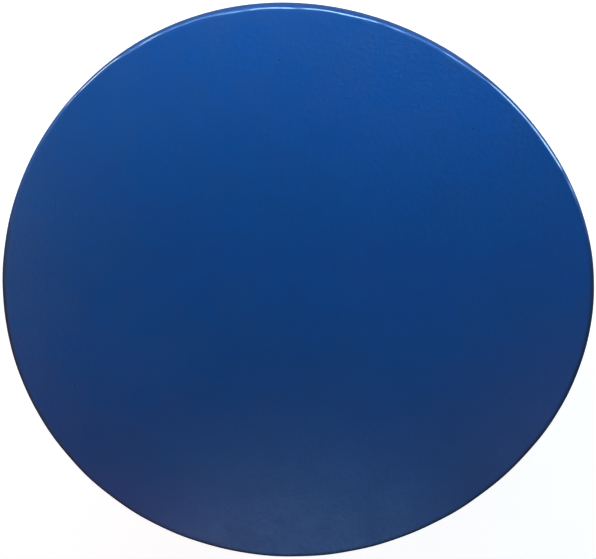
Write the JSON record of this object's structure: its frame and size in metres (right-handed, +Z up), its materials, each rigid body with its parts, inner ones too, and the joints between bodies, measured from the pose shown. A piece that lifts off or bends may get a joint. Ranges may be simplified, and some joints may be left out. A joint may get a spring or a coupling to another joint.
{
  "type": "ice hockey puck",
  "caption": "Solid rubber disc with flat faces, small rounded edges and a diamond-knurled side band, slid over ice and struck with a stick.",
  "frame": {"origin": "centre of the face that the puck rests on", "axes": "+Z up along the puck's axis; +X and +Y in the plane of the faces, +X through a diamond of the side band"},
  "size_m": [0.0762, 0.0762, 0.0254],
  "materials": {
    "blue_rubber": "satin moulded rubber, pigmented through"
  },
  "bodies": {
    "root": {"puck_body": "blue_rubber"}
  },
  "joints": []
}
